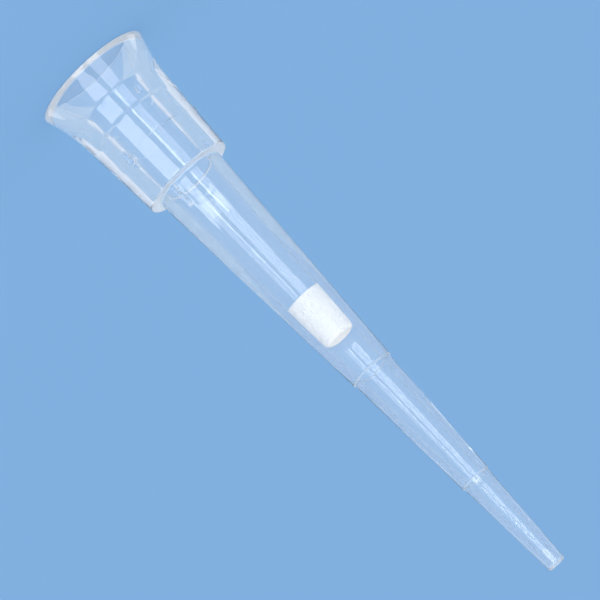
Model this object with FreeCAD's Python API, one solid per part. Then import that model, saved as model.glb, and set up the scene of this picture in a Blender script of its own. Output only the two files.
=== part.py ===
import FreeCAD, Part
import math
import os

# Filter pipette tip for small volumes: a moulded polypropylene cone with a
# flared, thick-walled mounting collar at one end and a fine nozzle at the
# other, and a sintered filter plug pressed into its bore.
#
# Sizes are in millimetres. The tip stands on its mouth: the origin is the
# centre of the mouth rim, and +Z runs along the bore to the nozzle. Heights
# count from the rim. Outside radii follow from the bore and the walls.

# ---- Bore, from the mouth to the nozzle ----
LAND_RADIUS = 1.345          # cylindrical land that seals on the pipette's nose
LAND_LENGTH = 1.41           # length of that land
LAND_CHAMFER = 0.14          # length of the cone that leads onto the land
LAND_STEP = 0.065            # radius lost along that cone
GUIDE_LENGTH = 1.10          # guide cone between lead-in and land
GUIDE_GAIN = 0.09            # radius the guide cone gains towards the mouth
LEAD_IN_LENGTH = 1.55        # wide lead-in cone at the mouth
LEAD_IN_GAIN = 0.62          # radius the lead-in gains towards the mouth
MOUTH_EDGE = 0.05            # rounding of the mouth's inner edge
LAND_RELIEF = 0.02           # radius lost at the groove edge past the land
SLEEVE_TAPER_DEG = 1.2       # draft of the bore between the land and the ledge
ORIFICE_RADIUS = 0.20        # opening at the nozzle

# ---- Collar ----
SLEEVE_LENGTH = 2.375        # end of the land to the level of the ledge
RIM_WIDTH = 0.82             # mouth to the outer edge of the rim
RIM_EDGE = 0.08              # rounding of the rim's outer edge
FLARE_HEIGHT = 2.46          # where the flare runs out into the collar's taper
COLLAR_TAPER_DEG = 3.15      # draft of the collar between flare and ledge
LEDGE_WIDTH = 0.484          # flat ledge that rests on a rack
LEDGE_EDGE = 0.12            # rounding of the ledge's outer corner
LEDGE_FILLET = 0.06          # fillet between ledge and body

# ---- Body ----
BODY_WALL = 0.486            # wall where the body leaves the ledge
UPPER_LENGTH = 12.26         # ledge to the first step ring
UPPER_WALL = 0.37            # wall just before the first step
UPPER_STEP = 0.054           # radius lost at the first step
MIDDLE_LENGTH = 6.855        # first to second step ring
MIDDLE_WALL = 0.33           # wall just before the second step
MIDDLE_STEP = 0.056          # radius lost at the second step
NOZZLE_LENGTH = 5.31         # second step ring to the end
NOZZLE_WALL = 0.254          # wall at the end
NOZZLE_EDGE = 0.05           # rounding of the nozzle's outer edge

# ---- Filter plug ----
FILTER_DEPTH = 7.695         # ledge to the plug's flat face on the mouth side
FILTER_LENGTH = 2.53         # length of the plug
FILTER_CLEARANCE = 0.005     # the plug is drawn this much under the bore
FILTER_MOUTH_EDGE = 0.03     # edge towards the mouth
FILTER_NOZZLE_EDGE = 0.14    # softer edge towards the nozzle

# ---- Heights and radii that follow ----
LEAD_IN_TOP = LEAD_IN_LENGTH
GUIDE_TOP = LEAD_IN_TOP + GUIDE_LENGTH
LAND_START = GUIDE_TOP + LAND_CHAMFER
LAND_END = LAND_START + LAND_LENGTH
LEDGE_HEIGHT = LAND_END + SLEEVE_LENGTH
UPPER_STEP_HEIGHT = LEDGE_HEIGHT + UPPER_LENGTH
MIDDLE_STEP_HEIGHT = UPPER_STEP_HEIGHT + MIDDLE_LENGTH
TIP_LENGTH = MIDDLE_STEP_HEIGHT + NOZZLE_LENGTH

GUIDE_START_RADIUS = LAND_RADIUS + LAND_STEP
LEAD_IN_START_RADIUS = GUIDE_START_RADIUS + GUIDE_GAIN
MOUTH_RADIUS = LEAD_IN_START_RADIUS + LEAD_IN_GAIN
SLEEVE_RADIUS = LAND_RADIUS - LAND_RELIEF
SLEEVE_START = LAND_END + LAND_RELIEF
SLEEVE_DRAFT = math.tan(math.radians(SLEEVE_TAPER_DEG))
BORE_RADIUS = SLEEVE_RADIUS - (LEDGE_HEIGHT - SLEEVE_START) * SLEEVE_DRAFT
RIM_RADIUS = MOUTH_RADIUS + RIM_WIDTH
BODY_RADIUS = BORE_RADIUS + BODY_WALL
LEDGE_RADIUS = BODY_RADIUS + LEDGE_WIDTH


def bore_radius(height):
    """Radius of the long bore cone at a height past the ledge."""
    travelled = (height - LEDGE_HEIGHT) / (TIP_LENGTH - LEDGE_HEIGHT)
    return BORE_RADIUS + (ORIFICE_RADIUS - BORE_RADIUS) * travelled


def point(radius, height):
    """Point of a half section, in the XZ plane."""
    return FreeCAD.Vector(radius, 0, height)


def lines(*points):
    """Straight edges that join the points in order."""
    return [Part.LineSegment(a, b).toShape() for a, b in zip(points, points[1:])]


def arc_leaving(start, direction, end):
    """Arc that leaves start along direction and runs to end."""
    chord = end - start
    direction = FreeCAD.Vector(direction).normalize()
    inward = chord - direction * chord.dot(direction)
    inward.normalize()
    radius = chord.Length ** 2 / (2 * chord.dot(inward))
    centre = start + inward * radius
    half_way = (start + end) * 0.5 - centre
    half_way.normalize()
    return Part.Arc(start, centre + half_way * radius, end).toShape()


def quarter(start, end):
    """Quarter round from start, where it is level, to end, where it is upright."""
    return arc_leaving(start, FreeCAD.Vector(end.x - start.x, 0, 0), end)


def turned(edges):
    """Solid made by turning a closed half section about the Z axis."""
    face = Part.Face(Part.Wire(Part.__sortEdges__(edges)))
    solid = face.revolve(FreeCAD.Vector(0, 0, 0), FreeCAD.Vector(0, 0, 1), 360)
    if solid.Volume < 0:
        solid.reverse()
    return solid


def rounded(solid, radius, height, size, *walls):
    """Rounds the circular edge at a radius and height, within its walls."""
    size = min(size, *(0.4 * wall for wall in walls))
    rings = []
    for edge in solid.Edges:
        if not isinstance(edge.Curve, Part.Circle):
            continue
        if abs(edge.Curve.Radius - radius) > 1e-4:
            continue
        if abs(edge.Curve.Center.z - height) < 1e-4:
            rings.append(edge)
    return solid.makeFillet(size, rings)


def outer_section():
    """Outside of the tip, from the rim's outer edge to the nozzle's."""
    draft = math.tan(math.radians(COLLAR_TAPER_DEG))
    rim = point(RIM_RADIUS, RIM_EDGE)
    ledge = point(LEDGE_RADIUS, LEDGE_HEIGHT)
    flare_end = point(LEDGE_RADIUS + (LEDGE_HEIGHT - FLARE_HEIGHT) * draft, FLARE_HEIGHT)
    upper = bore_radius(UPPER_STEP_HEIGHT) + UPPER_WALL
    middle = bore_radius(MIDDLE_STEP_HEIGHT) + MIDDLE_WALL
    flare = arc_leaving(flare_end, flare_end - ledge, rim)
    return [flare] + lines(
        flare_end,
        ledge,
        point(BODY_RADIUS, LEDGE_HEIGHT),
        point(upper, UPPER_STEP_HEIGHT),
        point(upper - UPPER_STEP, UPPER_STEP_HEIGHT),
        point(middle, MIDDLE_STEP_HEIGHT),
        point(middle - MIDDLE_STEP, MIDDLE_STEP_HEIGHT),
        point(ORIFICE_RADIUS + NOZZLE_WALL, TIP_LENGTH),
    )


def bore_section():
    """Bore, from the nozzle back to the mouth."""
    return lines(
        point(ORIFICE_RADIUS, TIP_LENGTH),
        point(BORE_RADIUS, LEDGE_HEIGHT),
        point(SLEEVE_RADIUS, SLEEVE_START),
        point(LAND_RADIUS, LAND_END),
        point(LAND_RADIUS, LAND_START),
        point(GUIDE_START_RADIUS, GUIDE_TOP),
        point(LEAD_IN_START_RADIUS, LEAD_IN_TOP),
        point(MOUTH_RADIUS, MOUTH_EDGE),
    )


def rim_section():
    """Flat land of the rim, with its mouth and outer edges rounded."""
    inner = point(MOUTH_RADIUS + MOUTH_EDGE, 0)
    outer = point(RIM_RADIUS - RIM_EDGE, 0)
    return [
        quarter(inner, point(MOUTH_RADIUS, MOUTH_EDGE)),
        quarter(outer, point(RIM_RADIUS, RIM_EDGE)),
    ] + lines(inner, outer)


def tip_body():
    """The moulded tip: one solid of revolution with its edges softened."""
    nozzle_end = lines(
        point(ORIFICE_RADIUS + NOZZLE_WALL, TIP_LENGTH), point(ORIFICE_RADIUS, TIP_LENGTH)
    )
    tip = turned(outer_section() + nozzle_end + bore_section() + rim_section())
    tip = rounded(tip, LEDGE_RADIUS, LEDGE_HEIGHT, LEDGE_EDGE, LEDGE_WIDTH)
    tip = rounded(tip, BODY_RADIUS, LEDGE_HEIGHT, LEDGE_FILLET, LEDGE_WIDTH)
    nozzle_radius = ORIFICE_RADIUS + NOZZLE_WALL
    return rounded(tip, nozzle_radius, TIP_LENGTH, NOZZLE_EDGE, NOZZLE_WALL)


def filter_plug():
    """The porous plug: it takes the bore's taper where it is pressed in."""
    low = LEDGE_HEIGHT + FILTER_DEPTH
    high = low + FILTER_LENGTH
    low_radius = bore_radius(low) - FILTER_CLEARANCE
    high_radius = bore_radius(high) - FILTER_CLEARANCE
    section = lines(
        point(0, low),
        point(low_radius, low),
        point(high_radius, high),
        point(0, high),
        point(0, low),
    )
    plug = turned(section)
    plug = rounded(plug, low_radius, low, FILTER_MOUTH_EDGE, FILTER_LENGTH, low_radius)
    return rounded(plug, high_radius, high, FILTER_NOZZLE_EDGE, FILTER_LENGTH, high_radius)


os.makedirs("parts", exist_ok=True)
for name, make in (("tip_body", tip_body), ("filter_plug", filter_plug)):
    make().exportStep("parts/" + name + ".step")
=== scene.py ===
import math

import bpy
import numpy as np
from mathutils import Matrix, Vector


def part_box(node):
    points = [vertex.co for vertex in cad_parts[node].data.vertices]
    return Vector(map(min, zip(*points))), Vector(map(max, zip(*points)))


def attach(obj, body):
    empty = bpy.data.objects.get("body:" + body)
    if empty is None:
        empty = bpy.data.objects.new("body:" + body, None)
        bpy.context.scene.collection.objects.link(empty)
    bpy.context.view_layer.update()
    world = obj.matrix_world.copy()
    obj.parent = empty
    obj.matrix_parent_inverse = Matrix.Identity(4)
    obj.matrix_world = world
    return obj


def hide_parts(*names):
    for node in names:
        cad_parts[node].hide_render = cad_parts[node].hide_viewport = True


# Looks of a clear filter pipette tip that stands on its mouth, nozzle up. The
# sections below are in millimetres, radius first and height second: height 0 is
# the rim, and the top of the frame's box is the nozzle's end. Lamps, camera and
# floor are placed in metres.

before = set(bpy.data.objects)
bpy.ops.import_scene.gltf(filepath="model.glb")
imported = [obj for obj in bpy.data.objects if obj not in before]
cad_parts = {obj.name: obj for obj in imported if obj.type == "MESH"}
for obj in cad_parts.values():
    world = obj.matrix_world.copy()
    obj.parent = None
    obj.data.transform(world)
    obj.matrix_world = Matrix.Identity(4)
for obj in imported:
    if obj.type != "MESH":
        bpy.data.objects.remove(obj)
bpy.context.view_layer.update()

MM = 0.001
TIP_LOW, TIP_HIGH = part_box("tip_body")
PLUG_LOW, PLUG_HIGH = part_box("filter_plug")
TIP_LENGTH = (TIP_HIGH.z - TIP_LOW.z) / MM
RIM_RADIUS = (TIP_HIGH.x - TIP_LOW.x) / MM / 2

# ---- Bore, from the mouth to the nozzle ----
RIM_WIDTH = 0.82
MOUTH_EDGE = 0.05
LEAD_IN_LENGTH = 1.55
LEAD_IN_SOFTNESS = 0.06
GUIDE_LENGTH = 1.10
GUIDE_GAIN = 0.09
GUIDE_SOFTNESS = 0.03
LAND_CHAMFER = 0.14
LAND_STEP = 0.065
LAND_RADIUS = 1.345
LAND_LENGTH = 1.41
LAND_RELIEF = 0.02
LAND_SOFTNESS = 0.01
SLEEVE_LENGTH = 2.375
BORE_RADIUS = 1.2757
BORE_BEND = 0.2
ORIFICE_RADIUS = 0.2
ORIFICE_EDGE = 0.025

# ---- Outside, from the rim to the nozzle ----
RIM_EDGE = 0.04
FLARE_FOOT = 0.048
FLARE_HEIGHT = 2.46
COLLAR_TAPER = math.tan(math.radians(3.15))
LEDGE_WIDTH = 0.484
LEDGE_EDGE = 0.12
LEDGE_FILLET = 0.06
BODY_WALL = 0.486
UPPER_LENGTH = 12.26
UPPER_WALL = 0.37
UPPER_STEP = 0.054
MIDDLE_LENGTH = 6.855
MIDDLE_WALL = 0.33
MIDDLE_STEP = 0.056
STEP_SOFTNESS = 0.02
NOZZLE_WALL = 0.254
NOZZLE_EDGE = 0.05

# ---- Heights and radii that follow ----
GUIDE_TOP = LEAD_IN_LENGTH + GUIDE_LENGTH
LAND_START = GUIDE_TOP + LAND_CHAMFER
LAND_END = LAND_START + LAND_LENGTH
LEDGE_HEIGHT = LAND_END + SLEEVE_LENGTH
UPPER_STEP_HEIGHT = LEDGE_HEIGHT + UPPER_LENGTH
MIDDLE_STEP_HEIGHT = UPPER_STEP_HEIGHT + MIDDLE_LENGTH
MOUTH_RADIUS = RIM_RADIUS - RIM_WIDTH
GUIDE_START_RADIUS = LAND_RADIUS + LAND_STEP
LEAD_IN_START_RADIUS = GUIDE_START_RADIUS + GUIDE_GAIN
BODY_RADIUS = BORE_RADIUS + BODY_WALL
LEDGE_RADIUS = BODY_RADIUS + LEDGE_WIDTH

# ---- Filter plug ----
PLUG_CLEARANCE = 0.006
PLUG_MOUTH_EDGE = 0.05
PLUG_NOZZLE_EDGE = 0.3
GRAIN_SIZE = 0.11
GRAIN_DEPTH = 0.035

# ---- Moulding marks ----
FLOW_SIZE = 0.9
FLOW_DEPTH = 0.012
FLOW_STRETCH = 0.12
FROSTED_RIM = 0.044
FROSTED_LEDGE_EDGE = 0.072
FROSTED_STEP = 0.04
# Radii that lie between the bore and the outside where the drops are, in the collar
# and just past the ledge.
COLLAR_MIDDLE = 1.85
BODY_MIDDLE = 1.5
# Drops of plastic left on the surface: on the bore or not, azimuth in degrees to the
# right of the camera, lower and upper height, half width at each, and rise. Minus is inward.
DROPS = (
    (True, 56, 3.95, 4.35, 0.10, 0.20, -0.09),
    (True, 56, 4.35, 4.80, 0.14, 0.03, -0.06),
    (False, 27, 6.62, 7.25, 0.17, 0.07, 0.09),
    (False, 27, 7.15, 7.80, 0.10, 0.13, 0.12),
    (True, -74, 6.00, 6.15, 0.11, 0.11, -0.08),
    (False, -88, 2.95, 3.05, 0.09, 0.09, 0.03),
    (False, -88, 4.40, 4.50, 0.09, 0.09, 0.03),
    (True, -40, 2.10, 2.30, 0.10, 0.12, -0.04),
)
# The tail of the drop past the ledge is dull: the same values, without a rise.
DULL_DROP = (False, 27, 7.20, 7.80, 0.07, 0.12)
DULL_FROM = 0.2

# ---- Fineness of the meshes ----
TURN_STEPS = 320
PLUG_TURN_STEPS = 240
FLARE_STEPS = 18
ROUND_STEPS = 6
TIP_SPACING = 2.0
DROP_SPACING = 0.05
DROP_MARGIN = 0.25
PLUG_SPACING = 0.025


# ---------------------------------------------------------------- sections
def tangent_arc(start, direction, end, steps):
    """Points of the arc that leaves start along direction and runs to end."""
    start, end = Vector(start), Vector(end)
    chord = end - start
    forward = Vector(direction).normalized()
    inward = chord - forward * chord.dot(forward)
    radius = chord.length_squared / (2 * inward.length)
    centre = start + inward.normalized() * radius
    side = math.copysign(1, forward.x * inward.y - forward.y * inward.x)
    sweep = 2 * side * math.atan2(inward.length, chord.dot(forward))
    first = math.atan2(start.y - centre.y, start.x - centre.x)
    turns = [first + sweep * k / steps for k in range(steps + 1)]
    return [(centre.x + radius * math.cos(t), centre.y + radius * math.sin(t)) for t in turns]


def softened(corners):
    """Section through corners (radius, height, rounding), with its corners rounded."""
    points = []
    for index, (x, y, size) in enumerate(corners):
        here = Vector((x, y))
        if size == 0:
            points.append((x, y))
            continue
        before = Vector(corners[index - 1][:2]) - here
        after = Vector(corners[(index + 1) % len(corners)][:2]) - here
        size = min(size, before.length * 0.45, after.length * 0.45)
        start = here + before.normalized() * size
        end = here + after.normalized() * size
        for k in range(ROUND_STEPS + 1):
            t = k / ROUND_STEPS
            spot = start * (1 - t) ** 2 + here * 2 * t * (1 - t) + end * t ** 2
            points.append((spot.x, spot.y))
    return points


def bore_radius(height):
    """Radius of the long bore cone at a height past the ledge."""
    share = (height - LEDGE_HEIGHT) / (TIP_LENGTH - LEDGE_HEIGHT)
    return BORE_RADIUS + (ORIFICE_RADIUS - BORE_RADIUS) * share


def divided(points, spacing):
    """The same section with long straight runs divided at an even spacing."""
    dense = []
    for (x0, y0), (x1, y1) in zip(points, points[1:] + points[:1]):
        parts = max(1, math.ceil(math.hypot(x1 - x0, y1 - y0) / spacing))
        dense += [(x0 + (x1 - x0) * k / parts, y0 + (y1 - y0) * k / parts) for k in range(parts)]
    return dense


def finer(points, windows, spacing):
    """The same section with its runs divided finely within (on bore, low, high) windows."""
    cut = []
    for (x0, y0), (x1, y1) in zip(points, points[1:] + points[:1]):
        stops = {0.0, 1.0}
        on_bore = (x0 + x1) / 2 < wall_middle((y0 + y1) / 2)
        for bore_side, low, high in windows:
            if bore_side != on_bore or abs(y1 - y0) < 1e-6:
                continue
            first, last = sorted(((low - y0) / (y1 - y0), (high - y0) / (y1 - y0)))
            first, last = max(first, 0.0), min(last, 1.0)
            if first < last:
                parts = max(1, math.ceil((last - first) * math.hypot(x1 - x0, y1 - y0) / spacing))
                stops |= {first + (last - first) * k / parts for k in range(parts + 1)}
        cut += [(x0 + (x1 - x0) * t, y0 + (y1 - y0) * t) for t in sorted(stops)[:-1]]
    return cut


def tip_section():
    """Closed half section of the moulded tip: up the outside, down the bore."""
    flare_radius = LEDGE_RADIUS + (LEDGE_HEIGHT - FLARE_HEIGHT) * COLLAR_TAPER
    upper = bore_radius(UPPER_STEP_HEIGHT) + UPPER_WALL
    middle = bore_radius(MIDDLE_STEP_HEIGHT) + MIDDLE_WALL
    flare = tangent_arc(
        (flare_radius, FLARE_HEIGHT), (COLLAR_TAPER, -1), (RIM_RADIUS, FLARE_FOOT), FLARE_STEPS
    )[::-1]
    outside = [(x, y, 0) for x, y in flare] + [
        (LEDGE_RADIUS, LEDGE_HEIGHT, LEDGE_EDGE),
        (BODY_RADIUS, LEDGE_HEIGHT, LEDGE_FILLET),
        (upper, UPPER_STEP_HEIGHT, STEP_SOFTNESS),
        (upper - UPPER_STEP, UPPER_STEP_HEIGHT + STEP_SOFTNESS, STEP_SOFTNESS),
        (middle, MIDDLE_STEP_HEIGHT, STEP_SOFTNESS),
        (middle - MIDDLE_STEP, MIDDLE_STEP_HEIGHT + STEP_SOFTNESS, STEP_SOFTNESS),
        (ORIFICE_RADIUS + NOZZLE_WALL, TIP_LENGTH, NOZZLE_EDGE),
    ]
    bore = [
        (ORIFICE_RADIUS, TIP_LENGTH, ORIFICE_EDGE),
        (BORE_RADIUS, LEDGE_HEIGHT, BORE_BEND),
        (LAND_RADIUS - LAND_RELIEF, LAND_END + LAND_RELIEF, LAND_SOFTNESS),
        (LAND_RADIUS, LAND_END, LAND_SOFTNESS),
        (LAND_RADIUS, LAND_START, GUIDE_SOFTNESS),
        (GUIDE_START_RADIUS, GUIDE_TOP, GUIDE_SOFTNESS),
        (LEAD_IN_START_RADIUS, LEAD_IN_LENGTH, LEAD_IN_SOFTNESS),
    ]
    rim = [(MOUTH_RADIUS, 0, MOUTH_EDGE), (RIM_RADIUS, 0, RIM_EDGE)]
    return softened(outside + bore + rim)


def plug_section():
    """Open half section of the filter plug, from its lower centre to its upper."""
    low, high = PLUG_LOW.z / MM, PLUG_HIGH.z / MM
    low_radius = bore_radius(low) - PLUG_CLEARANCE
    high_radius = bore_radius(high) - PLUG_CLEARANCE
    corners = [
        (0.0, low, 0),
        (low_radius, low, PLUG_MOUTH_EDGE),
        (high_radius, high, PLUG_NOZZLE_EDGE),
        (0.0, high, 0),
    ]
    dense = divided(softened(corners), PLUG_SPACING)
    return dense[: dense.index((0.0, high)) + 1]


# ---------------------------------------------------------------- drops and frosted faces
def wall_middle(height):
    """Radius that parts the bore from the outside wherever a drop lies."""
    return np.where(np.asarray(height) < LEDGE_HEIGHT, COLLAR_MIDDLE, BODY_MIDDLE)


def drop_shape(spots, on_bore, azimuth, low, high, low_width, high_width):
    """How far each point lies up a drop's rounded side, from 0 to 1."""
    reach = np.hypot(spots[:, 0], spots[:, 1])
    height = spots[:, 2]
    turn = np.arctan2(spots[:, 0], -spots[:, 1]) - math.radians(azimuth)
    turn = (turn + math.pi) % math.tau - math.pi
    share = np.clip((height - low) / (high - low), 0, 1)
    width = low_width + (high_width - low_width) * share
    beyond = np.maximum(low - height, 0) + np.maximum(height - high, 0)
    away = np.hypot(turn * reach, beyond) / width
    side = reach < wall_middle(height) if on_bore else reach >= wall_middle(height)
    return np.where(side, np.sqrt(np.clip(1 - away ** 2, 0, 1)), 0.0)


def raise_drops(spots):
    """Moves the points, in millimetres, out or in where a drop lies."""
    reaches = np.hypot(spots[:, 0], spots[:, 1])
    for *place, rise in DROPS:
        raised = drop_shape(spots, *place) * rise
        spots[:, :2] *= (1 + raised / reaches)[:, None]


def frosted_spots(spots):
    """True for the points on the end faces, the ledge, the step rings and the dull drop."""
    heights = spots[:, 2]
    reaches = np.hypot(spots[:, 0], spots[:, 1])
    frosted = drop_shape(spots, *DULL_DROP) > DULL_FROM
    frosted |= heights < FROSTED_RIM
    frosted |= heights > TIP_LENGTH - NOZZLE_EDGE
    for low, high, inner in (
        (LEDGE_HEIGHT - FROSTED_LEDGE_EDGE, LEDGE_HEIGHT + LEDGE_FILLET, BODY_MIDDLE),
        (
            UPPER_STEP_HEIGHT - STEP_SOFTNESS,
            UPPER_STEP_HEIGHT + FROSTED_STEP,
            bore_radius(UPPER_STEP_HEIGHT) + UPPER_WALL / 2,
        ),
        (
            MIDDLE_STEP_HEIGHT - STEP_SOFTNESS,
            MIDDLE_STEP_HEIGHT + FROSTED_STEP,
            bore_radius(MIDDLE_STEP_HEIGHT) + MIDDLE_WALL / 2,
        ),
    ):
        frosted |= (heights > low) & (heights < high) & (reaches > inner)
    return frosted


def add_marks(mesh):
    """Raises the drops, and gives the frosted faces the mesh's second material."""
    spots = np.empty(len(mesh.vertices) * 3)
    mesh.vertices.foreach_get("co", spots)
    spots = spots.reshape(-1, 3) / MM
    raise_drops(spots)
    mesh.vertices.foreach_set("co", (spots * MM).ravel())
    mesh.update()
    frosted = frosted_spots(spots)
    for face in mesh.polygons:
        if all(frosted[index] for index in face.vertices):
            face.material_index = 1


# ---------------------------------------------------------------- node helpers
def math_node(tree, operation, *values):
    """Output of a new math node, fed with sockets or numbers."""
    node = tree.nodes.new("ShaderNodeMath")
    node.operation = operation
    for slot, value in zip(node.inputs, values):
        if isinstance(value, (int, float)):
            slot.default_value = value
        else:
            tree.links.new(value, slot)
    return node.outputs[0]


def product(tree, first, *others):
    """Output that multiplies all the values given."""
    for other in others:
        first = math_node(tree, "MULTIPLY", first, other)
    return first


def largest(tree, first, *others):
    """Output that follows the largest of the values given."""
    for other in others:
        first = math_node(tree, "MAXIMUM", first, other)
    return first


def ramp_node(tree, value, start, end, first, last):
    """Output that runs from first to last while value runs from start to end."""
    node = tree.nodes.new("ShaderNodeMapRange")
    node.inputs["From Min"].default_value = start
    node.inputs["From Max"].default_value = end
    node.inputs["To Min"].default_value = first
    node.inputs["To Max"].default_value = last
    tree.links.new(value, node.inputs["Value"])
    return node.outputs[0]


def socket_id(tree, name):
    """Identifier of a tree's input of that name."""
    for item in tree.interface.items_tree:
        if item.item_type == "SOCKET" and item.in_out == "INPUT" and item.name == name:
            return item.identifier
    raise KeyError(name)


# ---------------------------------------------------------------- the lathe
def lathe_tree():
    """Turns a half section about Z, and roughens the surface into grains if asked to."""
    tree = bpy.data.node_groups.new("Turn a half section", "GeometryNodeTree")
    face = tree.interface
    face.new_socket("Geometry", in_out="INPUT", socket_type="NodeSocketGeometry")
    face.new_socket("Steps", in_out="INPUT", socket_type="NodeSocketInt")
    face.new_socket("Grain Size", in_out="INPUT", socket_type="NodeSocketFloat")
    face.new_socket("Grain Depth", in_out="INPUT", socket_type="NodeSocketFloat")
    face.new_socket("Finish", in_out="INPUT", socket_type="NodeSocketMaterial")
    face.new_socket("Geometry", in_out="OUTPUT", socket_type="NodeSocketGeometry")
    new = tree.nodes.new
    link = tree.links.new
    given = new("NodeGroupInput")
    result = new("NodeGroupOutput")

    to_curve = new("GeometryNodeMeshToCurve")
    link(given.outputs["Geometry"], to_curve.inputs["Mesh"])
    section_size = new("GeometryNodeAttributeDomainSize")
    section_size.component = "CURVE"
    link(to_curve.outputs["Curve"], section_size.inputs["Geometry"])
    section_points = section_size.outputs["Point Count"]
    steps = given.outputs["Steps"]
    grid = new("GeometryNodeMeshGrid")
    link(math_node(tree, "ADD", steps, 1), grid.inputs["Vertices X"])
    link(section_points, grid.inputs["Vertices Y"])

    # Row and column of each grid point, from its index.
    index = new("GeometryNodeInputIndex").outputs[0]
    row = math_node(tree, "MODULO", index, section_points)
    column = math_node(tree, "FLOOR", math_node(tree, "DIVIDE", index, section_points))
    place = new("GeometryNodeInputPosition").outputs[0]
    sample = new("GeometryNodeSampleIndex")
    sample.data_type = "FLOAT_VECTOR"
    link(to_curve.outputs["Curve"], sample.inputs["Geometry"])
    link(place, sample.inputs["Value"])
    link(row, sample.inputs["Index"])

    # Each column is the section, turned by its share of a full turn.
    turn = new("ShaderNodeVectorRotate")
    turn.rotation_type = "Z_AXIS"
    link(sample.outputs["Value"], turn.inputs["Vector"])
    step_angle = math_node(tree, "DIVIDE", math.tau, steps)
    link(product(tree, column, step_angle), turn.inputs["Angle"])
    put = new("GeometryNodeSetPosition")
    link(grid.outputs["Mesh"], put.inputs["Geometry"])
    link(turn.outputs[0], put.inputs["Position"])
    weld = new("GeometryNodeMergeByDistance")
    weld.inputs["Distance"].default_value = 1e-7
    link(put.outputs[0], weld.inputs["Geometry"])

    # Grains push the surface in, never out.
    cells = new("ShaderNodeTexVoronoi")
    cells.feature = "F1"
    link(math_node(tree, "DIVIDE", 1, given.outputs["Grain Size"]), cells.inputs["Scale"])
    link(place, cells.inputs["Vector"])
    inward = product(tree, cells.outputs["Distance"], given.outputs["Grain Depth"], -1)
    push = new("ShaderNodeVectorMath")
    push.operation = "SCALE"
    link(new("GeometryNodeInputNormal").outputs[0], push.inputs[0])
    link(inward, push.inputs["Scale"])
    grain = new("GeometryNodeSetPosition")
    link(weld.outputs[0], grain.inputs["Geometry"])
    link(push.outputs[0], grain.inputs["Offset"])

    smooth = new("GeometryNodeSetShadeSmooth")
    realize = new("GeometryNodeRealizeInstances")
    finish = new("GeometryNodeSetMaterial")
    link(grain.outputs[0], smooth.inputs["Geometry"])
    link(smooth.outputs[0], realize.inputs["Geometry"])
    link(realize.outputs[0], finish.inputs["Geometry"])
    link(given.outputs["Finish"], finish.inputs["Material"])
    link(finish.outputs[0], result.inputs["Geometry"])
    return tree


def turned(name, section, closed, steps, material, tree, grain_size=1.0, grain_depth=0.0):
    """Mesh object made by turning a half section in millimetres about Z."""
    loop = section + section[:1] if closed else section
    line = bpy.data.meshes.new(name + "_section")
    line.from_pydata(
        [(x * MM, 0, y * MM) for x, y in loop], [(k, k + 1) for k in range(len(loop) - 1)], []
    )
    maker = bpy.data.objects.new(name + "_section", line)
    bpy.context.scene.collection.objects.link(maker)
    modifier = maker.modifiers.new("Turn", "NODES")
    modifier.node_group = tree
    modifier[socket_id(tree, "Steps")] = steps
    modifier[socket_id(tree, "Grain Size")] = grain_size * MM
    modifier[socket_id(tree, "Grain Depth")] = grain_depth * MM
    modifier[socket_id(tree, "Finish")] = material
    bpy.context.view_layer.update()
    graph = bpy.context.evaluated_depsgraph_get()
    mesh = bpy.data.meshes.new_from_object(maker.evaluated_get(graph))
    bpy.data.objects.remove(maker)
    mesh.materials.clear()
    mesh.materials.append(material)
    mesh.polygons.foreach_set("material_index", [0] * len(mesh.polygons))
    mesh.name = name
    piece = bpy.data.objects.new(name, mesh)
    bpy.context.scene.collection.objects.link(piece)
    return piece


# ---------------------------------------------------------------- materials
def new_material(name):
    """A material with its node tree and its shader."""
    material = bpy.data.materials.new(name)
    material.use_nodes = True
    tree = material.node_tree
    return material, tree, tree.nodes["Principled BSDF"]


def clear_polypropylene():
    """Clear natural polypropylene: glossy, a little milky, with faint flow lines."""
    material, tree, shader = new_material("natural_polypropylene")
    shader.inputs["Base Color"].default_value = (0.96, 0.98, 1.0, 1)
    shader.inputs["Transmission Weight"].default_value = 0.94
    shader.inputs["Roughness"].default_value = 0.03
    shader.inputs["IOR"].default_value = 1.49
    spot = tree.nodes.new("ShaderNodeTexCoord")
    stretch = tree.nodes.new("ShaderNodeMapping")
    stretch.inputs["Scale"].default_value = (1, 1, FLOW_STRETCH)
    tree.links.new(spot.outputs["Object"], stretch.inputs["Vector"])
    flow = tree.nodes.new("ShaderNodeTexNoise")
    flow.inputs["Scale"].default_value = 1 / (FLOW_SIZE * MM)
    flow.inputs["Detail"].default_value = 2
    tree.links.new(stretch.outputs[0], flow.inputs["Vector"])
    ripple = tree.nodes.new("ShaderNodeBump")
    ripple.inputs["Strength"].default_value = 1.0
    ripple.inputs["Distance"].default_value = FLOW_DEPTH * MM
    tree.links.new(flow.outputs[0], ripple.inputs["Height"])
    tree.links.new(ripple.outputs[0], shader.inputs["Normal"])
    return material


def frosted_polypropylene():
    """Lightly textured end faces and steps, and the dull tail of one drop."""
    material, tree, shader = new_material("frosted_polypropylene")
    shader.inputs["Base Color"].default_value = (0.74, 0.86, 1.0, 1)
    shader.inputs["Transmission Weight"].default_value = 0.6
    shader.inputs["Roughness"].default_value = 0.55
    shader.inputs["IOR"].default_value = 1.49
    return material


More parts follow.
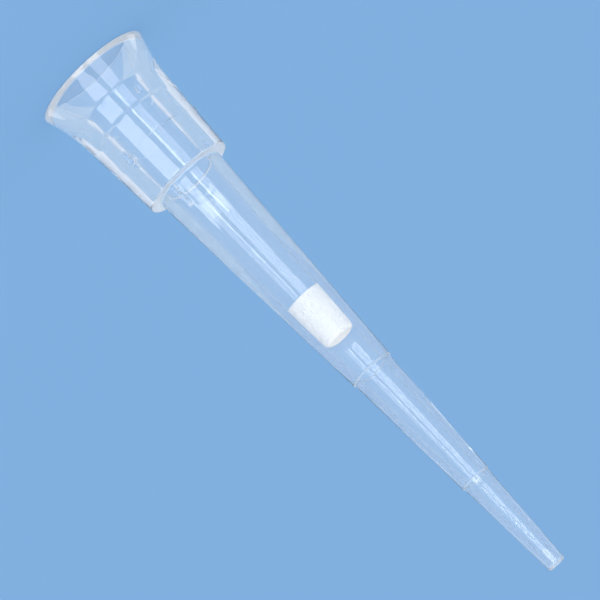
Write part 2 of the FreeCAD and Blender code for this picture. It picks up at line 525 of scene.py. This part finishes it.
def sintered_polyethylene():
    """White sintered beads: bright and matt, with painted shade that darkens the gaps between
    them.
    """
    material, tree, shader = new_material("sintered_polyethylene")
    shader.inputs["Roughness"].default_value = 0.8
    shader.inputs["Specular IOR Level"].default_value = 0.3
    spot = tree.nodes.new("ShaderNodeTexCoord")
    beads = tree.nodes.new("ShaderNodeTexVoronoi")
    beads.inputs["Scale"].default_value = 1 / (GRAIN_SIZE * MM)
    tree.links.new(spot.outputs["Object"], beads.inputs["Vector"])
    patches = tree.nodes.new("ShaderNodeTexNoise")
    patches.inputs["Scale"].default_value = 0.25 / (GRAIN_SIZE * MM)
    tree.links.new(spot.outputs["Object"], patches.inputs["Vector"])
    uneven = math_node(tree, "MULTIPLY_ADD", patches.outputs[0], 0.4, beads.outputs["Distance"])
    # Painted shade: the colour darkens away from each bead's centre, into the gaps between beads;
    # the patches vary the tone at random.
    tone_and_painted_pit_shade = tree.nodes.new("ShaderNodeValToRGB")
    tone_and_painted_pit_shade.color_ramp.elements[0].position = 0.35
    tone_and_painted_pit_shade.color_ramp.elements[0].color = (0.97, 0.95, 0.925, 1)
    tone_and_painted_pit_shade.color_ramp.elements[1].position = 0.95
    tone_and_painted_pit_shade.color_ramp.elements[1].color = (0.90, 0.885, 0.865, 1)
    tree.links.new(math_node(tree, "SUBTRACT", uneven, 0.2), tone_and_painted_pit_shade.inputs[0])
    tree.links.new(tone_and_painted_pit_shade.outputs[0], shader.inputs["Base Color"])
    dents = tree.nodes.new("ShaderNodeBump")
    dents.inputs["Strength"].default_value = 0.35
    dents.inputs["Distance"].default_value = GRAIN_DEPTH / 2 * MM
    dents.invert = True
    tree.links.new(beads.outputs["Distance"], dents.inputs["Height"])
    tree.links.new(dents.outputs[0], shader.inputs["Normal"])
    return material


# ---------------------------------------------------------------- floor
# Clear surfaces that a view crosses or bounces off on its way through the tip.
THROUGH_WALL = (2, 2)
OFF_BORE_FRONT = (3, 3)
ACROSS_BORE = (4, 4)
OFF_BORE_BACK = (5, 5)
BENT_BY_BORE = (3, 5)
MANY_TIMES = (6, 99)

# Distances on the floor from the tip's axis, in metres, where a rule starts, fades or ends.
UNDER_RIM = (MOUTH_RADIUS + 0.15) * MM
# Where the floor's painted white glow fades: first for views through the wall, then for views
# bent aside near the tip.
WALL_GLOW_FADES = (0.036, 0.042)
SIDE_GLOW_FADES = (0.020, 0.030)
BODY_SIDE_STARTS = (0.055, 0.065)
COLLAR_MIRROR_REACH = 0.060
BODY_MIRROR_REACH = 0.020

# How strong the floor's painted white glow stays past the wall fade and past the start of the
# body's sides, of 1.
WALL_GLOW_LEFT = 0.3
BODY_SIDE_GLOW = 0.15

# How far to the side of the tip a spot on the floor lies, as a share of its distance.
BENT_ASIDE = (0.92, 0.97)
FLARE_ASIDE = (0.68, 0.75)


def seen_through(tree, surfaces):
    """1 for a view through clear plastic that met so many of its surfaces."""
    fewest, most = surfaces
    path = tree.nodes.new("ShaderNodeLightPath")
    low = math_node(tree, "GREATER_THAN", path.outputs["Ray Depth"], fewest - 0.5)
    high = math_node(tree, "LESS_THAN", path.outputs["Ray Depth"], most + 0.5)
    direct = math_node(tree, "LESS_THAN", path.outputs["Diffuse Depth"], 0.5)
    return product(tree, low, high, direct, path.outputs["Is Transmission Ray"])


def floor_place(tree):
    """Distance of a floor spot from the tip's axis, and its share of that to the side."""
    spot = tree.nodes.new("ShaderNodeTexCoord")
    reach = tree.nodes.new("ShaderNodeVectorMath")
    reach.operation = "LENGTH"
    tree.links.new(spot.outputs["Object"], reach.inputs[0])
    distance = reach.outputs["Value"]
    axes = tree.nodes.new("ShaderNodeSeparateXYZ")
    tree.links.new(spot.outputs["Object"], axes.inputs[0])
    sideways = math_node(tree, "ABSOLUTE", axes.outputs["X"])
    return distance, math_node(tree, "DIVIDE", sideways, distance)


def bent_views(tree, aside, near):
    """1 for a view that the bore bends far aside, close to the tip."""
    bent = ramp_node(tree, aside, *BENT_ASIDE, 0.0, 1.0)
    return product(tree, bent, seen_through(tree, BENT_BY_BORE), near)


def painted_glow_views(tree, distance, aside, near, bent):
    """1 for a view that sees the floor's painted white glow, and less where that glow fades."""
    clear_of_rim = math_node(tree, "GREATER_THAN", distance, UNDER_RIM)
    wall_fade = ramp_node(tree, distance, *WALL_GLOW_FADES, 1.0, WALL_GLOW_LEFT)
    wall = product(tree, clear_of_rim, seen_through(tree, THROUGH_WALL), wall_fade)
    body_start = ramp_node(tree, distance, *BODY_SIDE_STARTS, 0.0, BODY_SIDE_GLOW)
    body_side = product(tree, body_start, seen_through(tree, OFF_BORE_FRONT))
    flare = ramp_node(tree, aside, *FLARE_ASIDE, 0.0, 1.0)
    flare_side = product(tree, flare, seen_through(tree, ACROSS_BORE), near)
    return largest(tree, wall, bent, seen_through(tree, MANY_TIMES), body_side, flare_side)


def mirrored_views(tree, distance, bent):
    """1 for a view that the bore's walls mirror, in the collar or in the body."""
    near = math_node(tree, "LESS_THAN", distance, COLLAR_MIRROR_REACH)
    far = math_node(tree, "GREATER_THAN", distance, BODY_MIRROR_REACH)
    front = product(tree, near, seen_through(tree, OFF_BORE_FRONT))
    back = product(tree, far, seen_through(tree, OFF_BORE_BACK))
    return product(tree, largest(tree, front, back), math_node(tree, "SUBTRACT", 1.0, bent))


def floor_with_painted_glow():
    """Pale blue floor, with two rules for what the clear plastic shows of it.

    Views through solid wall alone see it glow with painted white light near the collar, less so
    farther out. Views bent far aside near the tip, or by many surfaces, see the painted glow as
    well, and views off the front of the bore see a little of it far out. The glow paints the
    white in the tip's walls.
    Views that the bore's walls mirror pass through it, to the lamps that reach below it.
    """
    material, tree, shader = new_material("pale_floor_with_painted_glow")
    shader.inputs["Base Color"].default_value = (0.23, 0.445, 0.75, 1)
    shader.inputs["Roughness"].default_value = 0.9
    shader.inputs["Specular IOR Level"].default_value = 0.0
    distance, aside = floor_place(tree)
    near = ramp_node(tree, distance, *SIDE_GLOW_FADES, 1.0, 0.0)
    bent = bent_views(tree, aside, near)
    # Painted light: a white glow on the floor, seen only through the clear plastic, which paints
    # the white in the tip's walls.
    white = tree.nodes.new("ShaderNodeEmission")
    white.inputs["Color"].default_value = (0.78, 0.84, 0.94, 1)
    mix = tree.nodes.new("ShaderNodeMixShader")
    tree.links.new(painted_glow_views(tree, distance, aside, near, bent), mix.inputs[0])
    tree.links.new(shader.outputs[0], mix.inputs[1])
    tree.links.new(white.outputs[0], mix.inputs[2])
    opening = tree.nodes.new("ShaderNodeBsdfTransparent")
    opened = tree.nodes.new("ShaderNodeMixShader")
    tree.links.new(mirrored_views(tree, distance, bent), opened.inputs[0])
    tree.links.new(mix.outputs[0], opened.inputs[1])
    tree.links.new(opening.outputs[0], opened.inputs[2])
    tree.links.new(opened.outputs[0], tree.nodes["Material Output"].inputs["Surface"])
    return material


# ---------------------------------------------------------------- stage
FLOOR_HALF = 3.0
FLOOR_DROP = 0.02 * MM
AIM = Vector((0, 0, 0.0142))
CAMERA_PLACE = Vector((0, -0.2934, 0.0776))
CAMERA_ROLL = math.radians(136.39)
CAMERA_SIDE = 0.00018
CAMERA_LENS = 399
LAMP_DISTANCE = 0.7
LAMP_TINT = (1.0, 0.98, 0.95)
KEY_WIDTHS = (0.38, 0.34, 0.26, 0.14)
KEY_TIER = 0.1
# The lamps in front keep clear of the floor; those below it are for the mirrored views.
FRONT_FOOT = 0.02
LOW_FOOT, LOW_TOP = -0.28, -0.02
BACK_FOOT, BACK_TOP = -0.06, 0.42


def add_floor():
    """Large plain floor, just under the tip's rim."""
    mesh = bpy.data.meshes.new("floor")
    half, low = FLOOR_HALF, -FLOOR_DROP
    corners = [(-half, -half, low), (half, -half, low), (half, half, low), (-half, half, low)]
    mesh.from_pydata(corners, [], [(0, 1, 2, 3)])
    floor = bpy.data.objects.new("floor", mesh)
    floor.data.materials.append(floor_with_painted_glow())
    bpy.context.scene.collection.objects.link(floor)


def add_camera():
    """Long lens, from a little above, rolled so that the tip lies across the frame."""
    view = (AIM - CAMERA_PLACE).normalized()
    right = view.cross(Vector((0, 0, 1))).normalized()
    up = right.cross(view).normalized()
    rolled_up = up * math.cos(CAMERA_ROLL) - right * math.sin(CAMERA_ROLL)
    rolled_right = right * math.cos(CAMERA_ROLL) + up * math.sin(CAMERA_ROLL)
    data = bpy.data.cameras.new("camera")
    data.lens = CAMERA_LENS
    data.sensor_width = 36
    data.clip_start = 0.01
    camera = bpy.data.objects.new("camera", data)
    place = Matrix((rolled_right, rolled_up, -view)).transposed().to_4x4()
    place.translation = CAMERA_PLACE + right * CAMERA_SIDE
    camera.matrix_world = place
    bpy.context.scene.collection.objects.link(camera)
    bpy.context.scene.camera = camera


def add_softbox(name, azimuth, width, low, high, radiance, behind=False):
    """Upright soft lamp, azimuth degrees to the right of the camera, between two heights.

    A lamp behind the tip lights it, but isn't seen through it.
    """
    turn = math.radians(azimuth)
    place = Vector((math.sin(turn), -math.cos(turn), 0)) * LAMP_DISTANCE
    place.z = (low + high) / 2
    data = bpy.data.lights.new(name, "AREA")
    data.shape = "RECTANGLE"
    data.size = width
    data.size_y = high - low
    data.energy = radiance * math.pi * width * (high - low)
    data.color = LAMP_TINT
    lamp = bpy.data.objects.new(name, data)
    level = Vector((-place.x, -place.y, 0))
    lamp.matrix_world = Matrix.Translation(place) @ (
        level.to_track_quat("-Z", "Y").to_matrix().to_4x4()
    )
    lamp.visible_transmission = not behind
    bpy.context.scene.collection.objects.link(lamp)


def add_lamps():
    """Soft panels in front and behind, and a row below the floor for its open views."""
    for tier, width in enumerate(KEY_WIDTHS):
        foot = max(KEY_TIER * tier, FRONT_FOOT)
        add_softbox(f"key_panel_{tier}", 14, width, foot, KEY_TIER * (tier + 1), 4.2)
    add_softbox("side_panel", -23, 0.3, FRONT_FOOT, 0.38, 3.5)
    add_softbox("low_strip", -20, 0.11, LOW_FOOT, LOW_TOP, 11)
    add_softbox("low_side_panel", -39, 0.32, LOW_FOOT, LOW_TOP, 4)
    for panel in range(4):
        add_softbox(f"low_panel_{panel}", 10 + 14 * panel, 0.172, LOW_FOOT, LOW_TOP, 6.5)
    add_softbox("back_strip", 178, 0.06, BACK_FOOT, 0.45, 3, behind=True)
    add_softbox("back_panel_left", -125, 0.42, BACK_FOOT, BACK_TOP, 1.4, behind=True)
    add_softbox("back_panel_right", 125, 0.42, BACK_FOOT, BACK_TOP, 1.4, behind=True)


def add_world():
    """Cool white all round; views bent through the plastic see it blue, like the floor."""
    world = bpy.data.worlds.new("studio")
    world.use_nodes = True
    tree = world.node_tree
    plain_light = tree.nodes["Background"]
    plain_light.inputs["Color"].default_value = (0.95, 0.975, 1.0, 1)
    plain_light.inputs["Strength"].default_value = 0.82
    bent = tree.nodes.new("ShaderNodeBackground")
    bent.inputs["Color"].default_value = (0.40, 0.58, 0.81, 1)
    mix = tree.nodes.new("ShaderNodeMixShader")
    tree.links.new(seen_through(tree, BENT_BY_BORE), mix.inputs[0])
    tree.links.new(plain_light.outputs[0], mix.inputs[1])
    tree.links.new(bent.outputs[0], mix.inputs[2])
    tree.links.new(mix.outputs[0], tree.nodes["World Output"].inputs["Surface"])
    bpy.context.scene.world = world


# ---------------------------------------------------------------- the tip and its plug
lathe = lathe_tree()
drop_windows = [(drop[0], drop[2] - DROP_MARGIN, drop[3] + DROP_MARGIN) for drop in DROPS]
tip_loop = finer(divided(tip_section(), TIP_SPACING), drop_windows, DROP_SPACING)
tip = turned("tip_shell", tip_loop, True, TURN_STEPS, clear_polypropylene(), lathe)
tip.data.materials.append(frosted_polypropylene())
add_marks(tip.data)
# The lamps reach the plug through the clear wall.
tip.visible_shadow = False
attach(tip, "root")
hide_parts("tip_body")

plug = turned(
    "filter_core", plug_section(), False, PLUG_TURN_STEPS, sintered_polyethylene(), lathe,
    GRAIN_SIZE, GRAIN_DEPTH,
)
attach(plug, "root")
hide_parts("filter_plug")

add_floor()
add_camera()
add_lamps()
add_world()
bpy.context.scene.view_settings.view_transform = "Standard"
